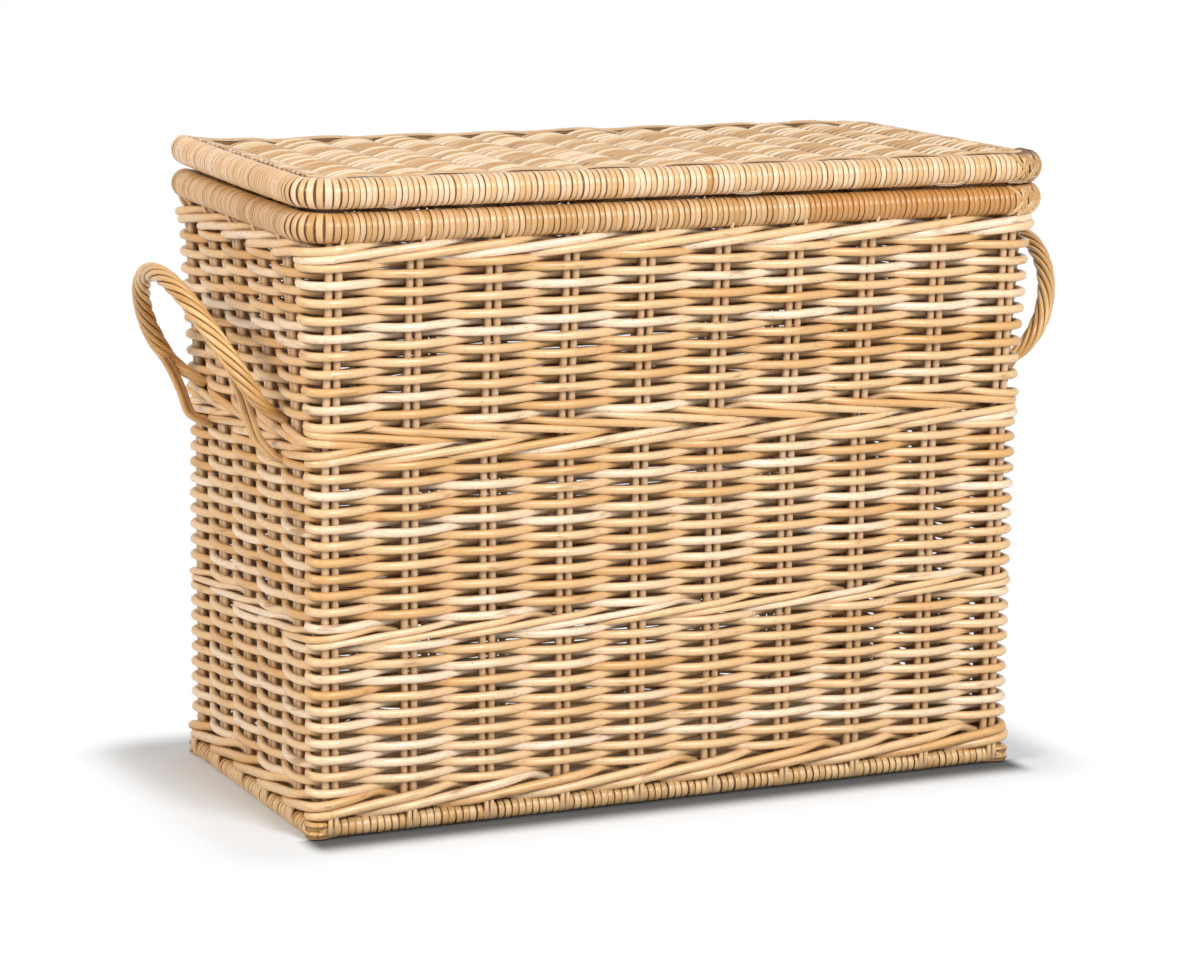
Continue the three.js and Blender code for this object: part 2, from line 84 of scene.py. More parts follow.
class Board:
    def __init__(self, tree):
        self.tree = tree

    def add(self, kind, settings=None, sockets=None):
        node = self.tree.nodes.new(kind)
        for key, value in (settings or {}).items():
            setattr(node, key, value)
        for key, value in (sockets or {}).items():
            self.feed(self.pick(node.inputs, key), value)
        return Wire(self, next(s for s in node.outputs if s.enabled))

    def pick(self, sockets, key):
        if isinstance(key, int):
            return sockets[key]
        return next(s for s in sockets if s.enabled and s.name == key)

    def feed(self, socket, value):
        if isinstance(value, Wire):
            self.tree.links.new(value.socket, socket)
        else:
            socket.default_value = value

    def sums(self, operation, *values):
        isVector = [isinstance(v, Wire) and v.socket.type == "VECTOR" for v in values]
        if not any(isVector):
            return self.add("ShaderNodeMath", {"operation": operation}, dict(enumerate(values)))
        if operation == "MULTIPLY" and not all(isVector):
            vector, scale = values if isVector[0] else values[::-1]
            return self.add("ShaderNodeVectorMath", {"operation": "SCALE"}, {0: vector, "Scale": scale})
        return self.add("ShaderNodeVectorMath", {"operation": operation}, dict(enumerate(values)))

    def ease(self, value, low, high, toLow=0.0, toHigh=1.0):  # smooth step between two values
        return self.add("ShaderNodeMapRange", {"interpolation_type": "SMOOTHSTEP"}, {
            "Value": value, "From Min": low, "From Max": high, "To Min": toLow, "To Max": toHigh})

    def blend(self, share, first, second):  # two colours
        return self.add("ShaderNodeMix", {"data_type": "RGBA"}, {"Factor": share, "A": first, "B": second})

    def vector(self, x=0.0, y=0.0, z=0.0):
        return self.add("ShaderNodeCombineXYZ", None, {0: x, 1: y, 2: z})

    def noise(self, place, scale, detail=2.0, roughness=0.5):
        return self.add("ShaderNodeTexNoise", None, {
            "Vector": place, "Scale": scale, "Detail": detail, "Roughness": roughness})

    def read(self, name, kind="FLOAT"):  # a stored value, on a geometry tree
        return self.add("GeometryNodeInputNamedAttribute", {"data_type": kind}, {"Name": name})

    def keep(self, geometry, name, value, kind="FLOAT", domain="POINT"):
        return self.add("GeometryNodeStoreNamedAttribute", {"data_type": kind, "domain": domain}, {
            "Geometry": geometry, "Name": name, "Value": value})

    def chance(self, low, high, ident, seed):
        return self.add("FunctionNodeRandomValue", None, {"Min": low, "Max": high, "ID": ident, "Seed": seed})

    def position(self):
        return self.add("GeometryNodeInputPosition")

    def parts(self, vector):  # its X, with Y and Z beside it
        return self.add("ShaderNodeSeparateXYZ", None, {0: vector})

    def circle(self, sides, radius=1.0):
        return self.add("GeometryNodeCurvePrimitiveCircle", None, {"Resolution": sides, "Radius": radius})

    def spaced(self, curves, length):
        return self.add("GeometryNodeResampleCurve", {"mode": "LENGTH"}, {"Curve": curves, "Length": length})

    def copies(self, curves, count):
        return self.add("GeometryNodeDuplicateElements", {"domain": "SPLINE"}, {
            "Geometry": curves, "Amount": count})

    def moved(self, geometry, offset):
        return self.add("GeometryNodeSetPosition", None, {"Geometry": geometry, "Offset": offset})


# Trees that grow a piece along a guide

def growTree(name, sizes, grow):
    tree = bpy.data.node_groups.new(name, "GeometryNodeTree")
    kinds = {int: "NodeSocketInt", float: "NodeSocketFloat"}
    tree.interface.new_socket("Geometry", in_out="INPUT", socket_type="NodeSocketGeometry")
    tree.interface.new_socket("Material", in_out="INPUT", socket_type="NodeSocketMaterial")
    for key, kind in sizes.items():
        tree.interface.new_socket(key, in_out="INPUT", socket_type=kinds[kind])
    tree.interface.new_socket("Geometry", in_out="OUTPUT", socket_type="NodeSocketGeometry")
    board = Board(tree)
    start = tree.nodes.new("NodeGroupInput")
    asked = {s.name: Wire(board, s) for s in start.outputs if s.name}
    grown = board.add("GeometryNodeRealizeInstances", None, {"Geometry": grow(board, asked)})
    grown = board.add("GeometryNodeSetShadeSmooth", None, {"Geometry": grown})
    grown = board.add("GeometryNodeSetMaterial", None, {"Geometry": grown, "Material": asked["Material"]})
    end = tree.nodes.new("NodeGroupOutput")
    tree.links.new(grown.socket, end.inputs["Geometry"])
    return tree


def growPiece(name, tree, guide, material, sizes):
    piece = bpy.data.objects.new(name, guide)
    bpy.context.scene.collection.objects.link(piece)
    modifier = piece.modifiers.new("grow", "NODES")
    modifier.node_group = tree
    asked = {**sizes, "Material": material}
    for item in tree.interface.items_tree:
        if item.in_out == "INPUT" and item.name in asked:
            modifier[item.identifier] = asked[item.name]
    depsgraph = bpy.context.evaluated_depsgraph_get()
    grown = bpy.data.meshes.new_from_object(
        piece.evaluated_get(depsgraph), preserve_all_data_layers=True, depsgraph=depsgraph)
    piece.modifiers.clear()
    piece.data = grown
    grown.name = name
    return piece


rodUneven = {"share": 0.16, "scale": 23.0}


def rodSkin(board, rods, asked, ident, sunk):  # round cane along curves, with what its finish reads
    length = board.add("GeometryNodeSplineParameter").also("Length")
    rods = board.keep(rods, "along", length)
    rods = board.keep(rods, "tint", board.chance(0.0, 1.0, ident, asked["Seed"]))
    rods = board.keep(rods, "sunk", sunk)
    place = board.position()
    thickness = 1 + rodUneven["share"] * (board.noise(place, rodUneven["scale"], 1.0) - 0.5)
    circle = board.keep(board.circle(asked["Sides"]), "ring", board.position(), "FLOAT_VECTOR")
    skin = board.add("GeometryNodeCurveToMesh", None, {
        "Curve": rods, "Profile Curve": circle, "Scale": asked["Rod radius"] * thickness, "Fill Caps": True})
    facing = board.add("GeometryNodeInputNormal").to("DOT_PRODUCT", board.read("over", "FLOAT_VECTOR"))
    return board.keep(skin, "facing", facing.also("Value"))


def swayed(board, asked, over, across):  # small unevenness of handwork
    place = board.position()
    sway = board.noise(place, asked["Sway scale"], 1.0) - 0.5
    elsewhere = place + board.vector(7.0, 3.0, 5.0)
    drift = board.noise(elsewhere, asked["Sway scale"], 1.0) - 0.5
    return (over * sway + across * drift) * asked["Sway"]


def leaned(board, asked):  # the wall leans out towards its top
    height = board.parts(board.position()).also("Z")
    return asked["Lean"] * board.ease(height, asked["Lean from"], asked["Lean to"])


rodSizes = {"Rod radius": float, "Sides": int, "Seed": int}
handSizes = {"Sway": float, "Sway scale": float, "Lean": float, "Lean from": float, "Lean to": float}
crestShare = 0.15  # a rod lies flatter across an upright than a plain wave would


def plainRows(board, asked):  # over one upright, behind the next, and the next row the other way
    rods = board.add("GeometryNodeMeshToCurve", None, {"Mesh": asked["Geometry"]})
    rods = board.copies(rods, asked["Rows"])
    row = rods.also("Duplicate Index")
    over = board.read("over", "FLOAT_VECTOR")
    across = board.read("across", "FLOAT_VECTOR")
    rods = board.moved(rods, across * (row * asked["Row pitch"]))
    wave = ((board.read("step") + row) * math.pi).to("COSINE")
    wave = wave * (1 + crestShare - crestShare * wave * wave)
    sunk = 0.5 - 0.5 * wave
    offset = (over * (wave * asked["Swing"] + leaned(board, asked)) + across * (sunk * asked["Rise"])
              + swayed(board, asked, over, across))
    rods = board.moved(rods, offset)
    return rodSkin(board, rods, asked, row, sunk)


waleCount = 3


def waleRods(board, asked):  # three rods, each over two uprights and behind one, climbing as it goes
    rods = board.add("GeometryNodeMeshToCurve", None, {"Mesh": asked["Geometry"]})
    rods = board.copies(rods, waleCount)
    rod = rods.also("Duplicate Index")
    over = board.read("over", "FLOAT_VECTOR")
    across = board.read("across", "FLOAT_VECTOR")
    stroke = (board.read("step") + rod) % waleCount  # 0 behind an upright, 1 and 2 in front of the next two
    fromBack = waleCount / 2 - (stroke - waleCount / 2).to("ABSOLUTE")
    wave = (fromBack.to("MINIMUM", 1.0) * math.pi).to("COSINE") * -1
    turn = asked["Turn"]
    climb = (stroke - turn) / (waleCount - 2 * turn) - 0.5
    climb = climb.to("MAXIMUM", -0.5).to("MINIMUM", 0.5)
    climb = climb + board.ease(stroke, 0.0, turn, 0.5, 0.0)
    climb = climb - board.ease(stroke, waleCount - turn, waleCount, 0.0, 0.5)
    offset = (over * (wave * asked["Swing"] + leaned(board, asked)) + across * (climb * asked["Climb"])
              + swayed(board, asked, over, across))
    rods = board.moved(rods, offset)
    return rodSkin(board, rods, asked, rod, 0.5 - 0.5 * wave)


ropeEnds = (0.34, 0.5)  # where it slims, as shares of its length from its middle


def ropeStrands(board, asked):  # strands laid round a path
    rope = board.add("GeometryNodeMeshToCurve", None, {"Mesh": asked["Geometry"]})
    rods = board.copies(board.spaced(rope, asked["Step"]), asked["Strands"])
    strand = rods.also("Duplicate Index")
    length = board.add("GeometryNodeSplineParameter").also("Length")
    turn = (length / asked["Lay"] + strand / asked["Strands"]) * (2 * math.pi)
    tangent = board.add("GeometryNodeInputTangent")
    normal = board.add("GeometryNodeInputNormal")
    side = tangent.to("CROSS_PRODUCT", normal)
    fromMiddle = (board.add("GeometryNodeSplineParameter") - 0.5).to("ABSOLUTE")
    slimmed = 1 - asked["Slimming"] * board.ease(fromMiddle, *ropeEnds)
    outward = normal * turn.to("COSINE") + side * turn.to("SINE")
    rods = board.keep(rods, "over", outward, "FLOAT_VECTOR")
    offset = board.read("over", "FLOAT_VECTOR") * (asked["Lay radius"] * slimmed)
    rods = board.moved(rods, offset)
    return rodSkin(board, rods, asked, strand, sunk=0.0)


stripLook = {"sides": 8, "crown": 0.55, "breadth": (0.9, 1.06), "turnedBy": 3.0, "bedded": 0.3}


def wrapTurns(board, asked):  # turns of flat peel round a pole, side by side
    pole = board.add("GeometryNodeMeshToCurve", None, {"Mesh": asked["Geometry"]})
    pole = board.spaced(pole, asked["Pitch"])
    points = board.add("GeometryNodeCurveToPoints", {"mode": "EVALUATED"}, {"Curve": pole})
    rotation = points.also("Rotation")
    flatSpot = board.parts(board.position())
    strip = board.keep(board.circle(stripLook["sides"]), "across", flatSpot.also("Y"))
    crown = flatSpot.to("SIGN") * flatSpot.to("ABSOLUTE") ** stripLook["crown"]
    shape = board.vector(crown * asked["Thickness"] * 0.5, flatSpot.also("Y") * asked["Width"] * 0.5)
    strip = board.add("GeometryNodeSetPosition", None, {"Geometry": strip, "Position": shape})
    ring = board.circle(asked["Sides"], asked["Radius"])
    ring = board.keep(ring, "along", board.add("GeometryNodeSplineParameter").also("Length"))
    turn = board.add("GeometryNodeCurveToMesh", None, {"Curve": ring, "Profile Curve": strip})
    index = board.add("GeometryNodeInputIndex")
    tilt = board.vector(
        board.chance(-1.0, 1.0, index, asked["Seed"]) * asked["Tilt"],
        board.chance(-1.0, 1.0, index, asked["Seed"] + 1) * asked["Tilt"],
        board.chance(-stripLook["turnedBy"], stripLook["turnedBy"], index, asked["Seed"] + 2))
    tilt = board.add("FunctionNodeEulerToRotation", None, {0: tilt})
    rotation = board.add("FunctionNodeRotateRotation", {"rotation_space": "LOCAL"}, {
        "Rotation": rotation, "Rotate By": tilt})
    bulk = 1 + asked["Uneven"] * board.chance(-1.0, 1.0, index, asked["Seed"] + 3)
    breadth = board.chance(*stripLook["breadth"], index, asked["Seed"] + 4) * board.read("step")
    turns = board.add("GeometryNodeInstanceOnPoints", None, {
        "Points": points, "Instance": turn, "Rotation": rotation, "Scale": board.vector(bulk, bulk, breadth)})
    turns = board.keep(turns, "tint", board.chance(0.0, 1.0, index, asked["Seed"] + 5), domain="INSTANCE")
    core = board.circle(asked["Sides"], asked["Radius"] - asked["Thickness"] * stripLook["bedded"])
    core = board.add("GeometryNodeCurveToMesh", None, {
        "Curve": pole, "Profile Curve": core, "Fill Caps": True})
    # tint -1 marks the core, which the peel finish paints as painted shade
    core = board.keep(core, "tint", -1.0)
    joined = board.add("GeometryNodeJoinGeometry", None, {0: turns})
    board.tree.links.new(core.socket, joined.socket.node.inputs[0])
    return joined


weaveTree = growTree("plain rows", {
    **rodSizes, **handSizes, "Rows": int, "Row pitch": float, "Swing": float, "Rise": float}, plainRows)
waleTree = growTree("wale rods", {
    **rodSizes, **handSizes, "Swing": float, "Climb": float, "Turn": float}, waleRods)
ropeTree = growTree("rope strands", {
    **rodSizes, "Strands": int, "Lay": float, "Lay radius": float, "Step": float, "Slimming": float,
}, ropeStrands)
wrapTree = growTree("wrap turns", {
    "Radius": float, "Pitch": float, "Width": float, "Thickness": float, "Tilt": float, "Uneven": float,
    "Sides": int, "Seed": int}, wrapTurns)
print("trees built:", len(bpy.data.node_groups))


# Finishes

def newFinish(name):
    material = bpy.data.materials.new(name)
    material.use_nodes = True
    board = Board(material.node_tree)
    shader = material.node_tree.nodes["Principled BSDF"]
    return material, board, shader


def stored(board, name):
    return board.add("ShaderNodeAttribute", {"attribute_name": name})


# Grain: how fast each mark changes round and along a rod, and the values of its noise between which it shows;
# the last four entries set where painted shade falls.
grain = {
    "streakRound": 0.5, "streakRun": 14.0, "streakScale": 5.0, "toneRun": 3.0, "knotRound": 0.4,
    "knotRun": 26.0, "speckRound": 2.0, "speckRun": 160.0, "speckScale": 1.6, "blushShare": 0.55,
    "relief": 0.25, "reliefDepth": 0.0006, "glossSpread": 0.2, "toStraw": (0.28, 0.5), "toChalk": (0.52, 0.7),
    "toBlush": (0.45, 0.75), "toKnot": (0.6, 0.76), "toSpeck": (0.67, 0.75), "toSunk": (0.5, 0.95),
    "toOuter": (-0.4, 0.3), "toInner": (0.0, -0.6), "sideShadeTo": -0.1,
}


# Besides its real marks, this finish paints shade where a rod passes under, on its sides and on its inner
# side.
def caneFinish(name, look):  # round core: streaks along the rod, slow changes of tone, specks and old knots
    material, board, shader = newFinish(name)
    along = stored(board, "along").also("Fac")
    tint = stored(board, "tint").also("Fac")  # takes every rod to its own part of each noise
    ring = stored(board, "ring").also("Vector")
    sunk = stored(board, "sunk").also("Fac")
    facing = stored(board, "facing").also("Fac")
    spot = ring * grain["streakRound"] + board.vector(tint * 37.0, tint * 11.0, along * grain["streakRun"])
    streak = board.noise(spot, grain["streakScale"], 3.0, 0.6)
    tone = board.noise(board.vector(along * grain["toneRun"], tint * 53.0, 2.0), 1.0, 2.0)
    tone = tone + look["mixed"] * (tint - 0.5)
    spot = board.vector(along * grain["knotRun"], tint * 91.0, 5.0) + ring * grain["knotRound"]
    knot = board.ease(board.noise(spot, 1.0, 2.0), *grain["toKnot"])
    spot = ring * grain["speckRound"] + board.vector(tint * 17.0, tint * 5.0, along * grain["speckRun"])
    speck = board.ease(board.noise(spot, grain["speckScale"], 1.0), *grain["toSpeck"])
    # painted shade on the outer face where a rod passes under its neighbour
    recessShade = board.ease(sunk, *grain["toSunk"]) * board.ease(facing, *grain["toOuter"])
    # painted shade on the inner side of the rod
    inner = board.ease(facing, *grain["toInner"])
    # painted shade on the sides of a rod, where it faces its neighbours
    grooveAndSideShade = board.ease(facing.to("ABSOLUTE"), look["sideShadeFrom"], grain["sideShadeTo"])
    colour = (*look["honey"], 1)
    for share, hue in (
            (board.ease(tone, *grain["toStraw"]), "straw"), (board.ease(tone, *grain["toChalk"]), "chalk"),
            (board.ease(streak, *grain["toBlush"]) * grain["blushShare"], "blush"),
            (knot * look["knots"], "brown"), (speck * look["specks"], "brown"),
            (recessShade * look["shade"], "paintedShade"), (inner * look["innerShade"], "paintedShade"),
            (grooveAndSideShade * look["sideShade"], "paintedShade")):
        colour = board.blend(share, colour, (*look[hue], 1))
    board.feed(shader.inputs["Base Color"], colour)
    board.feed(shader.inputs["Roughness"], look["roughness"] + grain["glossSpread"] * (streak - 0.5))
    bump = board.add("ShaderNodeBump", None, {
        "Strength": grain["relief"], "Distance": grain["reliefDepth"], "Height": streak})
    board.feed(shader.inputs["Normal"], bump)
    return material


# toEdge and toCore set where painted shade falls on the strip edges and on the core
peelGrain = {
    "across": 2.2, "run": 9.0, "scale": 2.4, "driftScale": 7.0, "driftTint": 0.5, "toStraw": (0.3, 0.7),
    "toBrown": (0.5, 0.75), "brownShare": 0.4, "toEdge": (0.72, 1.0), "bandFade": 0.004, "bandShare": 0.8,
    "toFront": (-0.1, -0.12), "toCore": (-0.4, -0.6), "relief": 0.35, "reliefDepth": 0.0005,
    "glossSpread": 0.25,
}


# The finish also paints shade at the strip edges and on the core under the wraps.
def peelFinish(name, look):  # flat glossy skin with fine grooves along each strip
    material, board, shader = newFinish(name)
    along = stored(board, "along").also("Fac")
    across = stored(board, "across").also("Fac")
    tint = stored(board, "tint").also("Fac")
    place = board.add("ShaderNodeTexCoord").also("Object")
    spot = board.vector(across * peelGrain["across"], tint * 61.0, along * peelGrain["run"])
    grooveAndSideShade = board.noise(spot, peelGrain["scale"], 3.0, 0.65)
    drift = board.noise(place, peelGrain["driftScale"], 2.0) + peelGrain["driftTint"] * (tint - 0.5)
    colour = board.blend(board.ease(drift, *peelGrain["toStraw"]), (*look["honey"], 1), (*look["straw"], 1))
    worn = board.ease(grooveAndSideShade, *peelGrain["toBrown"]) * peelGrain["brownShare"]
    colour = board.blend(worn, colour, (*look["brown"], 1))
    # painted shade at the edges of each strip, where neighbouring turns meet
    edge = board.ease(across.to("ABSOLUTE"), *peelGrain["toEdge"])
    colour = board.blend(edge * look["edges"], colour, (*look["paintedShade"], 1))
    if "band" in look:  # a darker stretch of peel in front
        first, last = look["bandSpan"]
        fade = peelGrain["bandFade"]
        sideways = board.parts(place)
        inBand = board.ease(sideways, first, first + fade) * board.ease(sideways, last + fade, last)
        inFront = board.ease(sideways.also("Y"), *peelGrain["toFront"])
        colour = board.blend(inBand * inFront * peelGrain["bandShare"], colour, (*look["band"], 1))
    # the core under the wraps is painted in the painted shade tone
    isCore = board.ease(tint, *peelGrain["toCore"])
    colour = board.blend(isCore, colour, (*look["paintedShade"], 1))
    board.feed(shader.inputs["Base Color"], colour)
    board.feed(shader.inputs["Roughness"], look["roughness"] + peelGrain["glossSpread"] * (grooveAndSideShade - 0.5))
    bump = board.add("ShaderNodeBump", None, {
        "Strength": peelGrain["relief"], "Distance": peelGrain["reliefDepth"], "Height": grooveAndSideShade})
    board.feed(shader.inputs["Normal"], bump)
    return material


# The darkest tone is the colour of painted shade; the shares beside it set how much painted shade each cane
# gets.
caneLook = {
    "straw": (0.79, 0.53, 0.285), "honey": (0.68, 0.385, 0.15), "chalk": (0.87, 0.69, 0.5),
    "blush": (0.61, 0.35, 0.145), "brown": (0.33, 0.165, 0.05), "paintedShade": (0.095, 0.04, 0.012),
    "mixed": 0.3, "knots": 0.7, "specks": 0.7, "shade": 0.3, "sideShade": 0.35, "sideShadeFrom": 0.62,
    "innerShade": 0.0, "roughness": 0.29,
}
rowCane = caneFinish("row cane", {**caneLook, "innerShade": 0.5})
waleCane = caneFinish("wale cane", {**caneLook, "shade": 0.2, "innerShade": 0.5})
stakeCane = caneFinish("stake cane", {
    **caneLook, "straw": (0.70, 0.45, 0.24), "honey": (0.62, 0.36, 0.155), "chalk": (0.76, 0.54, 0.34),
    "shade": 0.0, "knots": 0.3})
lidCane = caneFinish("lid cane", {
    **caneLook, "straw": (0.71, 0.485, 0.27), "honey": (0.54, 0.31, 0.125), "chalk": (0.86, 0.67, 0.46),
    "mixed": 1.0, "shade": 0.9, "sideShade": 1.0, "sideShadeFrom": 0.82})
ropeCane = caneFinish("rope cane", {
    **caneLook, "straw": (0.66, 0.385, 0.145), "honey": (0.56, 0.29, 0.09), "chalk": (0.74, 0.47, 0.21),
    "blush": (0.52, 0.28, 0.1), "knots": 0.2, "shade": 0.0, "sideShade": 0.9})
tailCane = caneFinish("tail cane", {
    **caneLook, "straw": (0.74, 0.48, 0.23), "honey": (0.62, 0.35, 0.13), "shade": 0.0})
# The darkest peel tone is painted shade at the strip edges and on the core under the wraps.
peelLook = {
    "straw": (0.80, 0.57, 0.31), "honey": (0.68, 0.42, 0.17), "brown": (0.45, 0.24, 0.08),
    "paintedShade": (0.16, 0.075, 0.025), "edges": 0.7, "roughness": 0.28,
}
rimPeel = peelFinish("basket rim peel", {
    **peelLook, "straw": (0.68, 0.43, 0.215), "honey": (0.55, 0.30, 0.11),
    "band": (0.50, 0.22, 0.055), "bandSpan": (0.115, 0.335)})
lidPeel = peelFinish("lid rim peel", {
    **peelLook, "straw": (0.85, 0.60, 0.385), "honey": (0.71, 0.435, 0.205),
    "band": (0.50, 0.24, 0.06), "bandSpan": (0.011, 0.018)})
footPeel = peelFinish("foot peel", {
    **peelLook, "straw": (0.77, 0.515, 0.26), "honey": (0.64, 0.38, 0.155)})
tieLook = {**caneLook, "shade": 0.0, "sideShade": 0.0}
rimTieCane = caneFinish("rim tie cane", {
    **tieLook, "straw": (0.66, 0.42, 0.2), "honey": (0.54, 0.29, 0.105)})
footTieCane = caneFinish("foot tie cane", {
    **tieLook, "straw": (0.7, 0.47, 0.24), "honey": (0.58, 0.34, 0.135)})
print("finishes made:", len(bpy.data.materials))


# Guides

halfway = 0.5  # the step of a rod that goes neither over nor behind anything


def guideMesh(name, lines, isClosed):  # lines of points: place, way over, way across, step
    mesh = bpy.data.meshes.new(name)
    points = [point for line in lines for point in line]
    edges = []
    first = 0
    for line in lines:
        last = first + len(line) - 1
        edges += [(i, i + 1) for i in range(first, last)]
        if isClosed:
            edges.append((last, first))
        first = last + 1
    mesh.from_pydata([point[0] for point in points], edges, [])
    for column, key in ((1, "over"), (2, "across")):
        values = [x for point in points for x in point[column]]
        mesh.attributes.new(key, "FLOAT_VECTOR", "POINT").data.foreach_set("vector", values)
    mesh.attributes.new("step", "FLOAT", "POINT").data.foreach_set("value", [point[3] for point in points])
    return mesh


def plainRods(name, lines, isClosed, finish, radius, sides, seed, more=None):  # one rod along each line
    return growPiece(name, weaveTree, guideMesh(name + " guide", lines, isClosed), finish, {
        "Rows": 1, "Rod radius": radius, "Sides": sides, "Seed": seed, **(more or {})})


def handwork(look):
    return {"Sway": look["sway"], "Sway scale": look["swayScale"]}


def middle(node):
    low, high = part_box(node)
    return (low + high) / 2


def dress(piece, body, slot, *nodes):
    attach(piece, body)
    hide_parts(*nodes)
    print("made", piece.name, len(piece.data.polygons), "faces")


up = Vector((0, 0, 1))
sides = ("front", "right", "back", "left")
outwards = {"front": Vector((0, -1, 0)), "right": Vector((1, 0, 0)), "back": Vector((0, 1, 0)),
            "left": Vector((-1, 0, 0))}
pairCounts = {side: sum(node.startswith(side + "_stake_pair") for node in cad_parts) for side in sides}
bodyMiddle = middle("basket_rim").y

basket = {
    "cornerRadius": 0.0095, "stakeRadius": 0.0037, "stakeSpread": 0.0046, "rowRadius": 0.0041,
    "lean": 0.0115, "leanFrom": 0.3, "leanTo": 0.6, "samplesPerPair": 14,
}


def stakeSpot(side, number):  # foot of a pair on the plane of the stakes
    low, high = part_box(f"{side}_stake_pair_{number}")
    halfThick = min(high.x - low.x, high.y - low.y, basket["stakeRadius"] * 2) / 2
    out = outwards[side]
    spot = (low + high) / 2
    inner = low if out.x + out.y > 0 else high
    if out.x:
        spot.x = inner.x + out.x * halfThick
    else:
        spot.y = inner.y + out.y * halfThick
    spot.z = 0
    return spot


def wallLoop(samples):  # round the basket on the plane of the stakes: place, way out, pairs passed
    points = []
    radius = basket["cornerRadius"]
    passed = 0
    for index, side in enumerate(sides):
        out = outwards[side]
        onward = sides[(index + 1) % len(sides)]
        spots = [stakeSpot(side, i + 1) for i in range(pairCounts[side])]
        for here, there in zip(spots, spots[1:]):
            for k in range(samples):
                points.append((here.lerp(there, k / samples), out, up, passed + k / samples))
            passed += 1
        here = spots[-1]
        there = stakeSpot(onward, 1)
        centre = Vector((here.x if out.x else there.x, here.y if out.y else there.y, 0))
        centre -= (out + outwards[onward]) * radius
        straight = (centre - here).dot(outwards[onward]), (centre - there).dot(out)
        arc = radius * math.pi / 2
        total = straight[0] + arc + straight[1]
        for k in range(samples):
            gone = total * k / samples
            step = passed + k / samples
            if gone < straight[0]:
                points.append((here + outwards[onward] * gone, out, up, step))
            elif gone < straight[0] + arc:
                angle = (gone - straight[0]) / radius
                way = out * math.cos(angle) + outwards[onward] * math.sin(angle)
                points.append((centre + way * radius, way, up, step))
            else:
                points.append((there + out * (total - gone), outwards[onward], up, step))
        passed += 1
    return points


loop = wallLoop(basket["samplesPerPair"])
toBack = basket["samplesPerPair"] * (pairCounts["front"] + pairCounts["right"])
allPairs = sum(pairCounts.values())
rowLoop = loop[toBack:] + [(*point[:3], point[3] + allPairs) for point in loop[:toBack]]  # joins at the back
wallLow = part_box("front_weave")[0].z
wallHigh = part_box("front_weave")[1].z
leanSizes = {"Lean": basket["lean"], "Lean from": basket["leanFrom"], "Lean to": basket["leanTo"]}


def atHeight(points, height):
    return [(place + up * height, over, across, step) for place, over, across, step in points]


# Rows of plain weave, field by field between the wales

rowLook = {"swing": 0.0066, "rise": 0.0009, "sway": 0.0032, "swayScale": 14.0}
fields = (("lower", "bottom_wale", "lower_wale", 18), ("middle", "lower_wale", "middle_wale_lower", 20),
          ("upper", "middle_wale_upper", "top_wale", 19))
for number, (field, below, above, rows) in enumerate(fields):
    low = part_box(below)[1].z
    pitch = (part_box(above)[0].z - low) / rows
    guide = guideMesh(field + " guide", [atHeight(rowLoop, low + pitch / 2)], True)
    piece = growPiece(field + "_rows", weaveTree, guide, rowCane, {
        **leanSizes, **handwork(rowLook), "Rows": rows, "Row pitch": pitch, "Swing": rowLook["swing"],
        "Rise": rowLook["rise"], "Rod radius": basket["rowRadius"], "Sides": 10, "Seed": 11 + number})
    dress(piece, "basket", "weave", *(side + "_weave" for side in sides))


# Stakes, two by two

stakeLook = {"steps": 12, "sway": 0.0012, "swayScale": 11.0, "intoRim": 0.006}
stakeLines = []
for side in sides:
    along = up.cross(outwards[side])
    for i in range(pairCounts[side]):
        for hand in (-1, 1):
            foot = stakeSpot(side, i + 1) + along * hand * basket["stakeSpread"]
            tall = wallHigh + stakeLook["intoRim"] - wallLow
            stakeLines.append([
                (foot + up * (wallLow + tall * k / stakeLook["steps"]), outwards[side], along, halfway)
                for k in range(stakeLook["steps"] + 1)])
piece = plainRods("stakes", stakeLines, False, stakeCane, basket["stakeRadius"], sides=8, seed=21,
                  more={**leanSizes, **handwork(stakeLook)})
stakeNodes = [f"{side}_stake_pair_{i + 1}" for side in sides for i in range(pairCounts[side])]
dress(piece, "basket", "stake_cane", *stakeNodes)


# Bands of wale: three rods twisted round the stakes

waleLook = {
    "bottom_wale": {"radius": 0.0045, "climb": 0.019, "leftward": False},
    "lower_wale": {"radius": 0.0033, "climb": 0.0135, "leftward": False},
    "middle_wale_lower": {"radius": 0.0037, "climb": 0.0145, "leftward": False},
    "middle_wale_upper": {"radius": 0.0037, "climb": 0.0145, "leftward": True},
    "top_wale": {"radius": 0.0041, "climb": 0.0155, "leftward": False},
}
waleHand = {"Turn": 0.45, "Sides": 10, "Sway": 0.002, "Sway scale": 8.0}
for number, (node, look) in enumerate(waleLook.items()):
    points = atHeight(loop, middle(node).z)
    if look["leftward"]:
        points = [(place, over, across, -step) for place, over, across, step in points]
    piece = growPiece(node + "_rods", waleTree, guideMesh(node + " guide", [points], True), waleCane, {
        **leanSizes, **waleHand, "Swing": basket["stakeRadius"] + look["radius"], "Climb": look["climb"],
        "Rod radius": look["radius"], "Seed": 31 + number})
    dress(piece, "basket", "wale", node)


# Wrapped rims

hoopLook = {"corner": 0.026, "cornerSteps": 10, "radius": 0.0129, "thickness": 0.0013, "pitch": 0.0056,
            "width": 0.0057, "spread": 1.2, "tilt": 0.03, "uneven": 0.014, "sides": 24,
            "lift": {"basket_rim": -0.0007, "lid_rim": 0.001}}


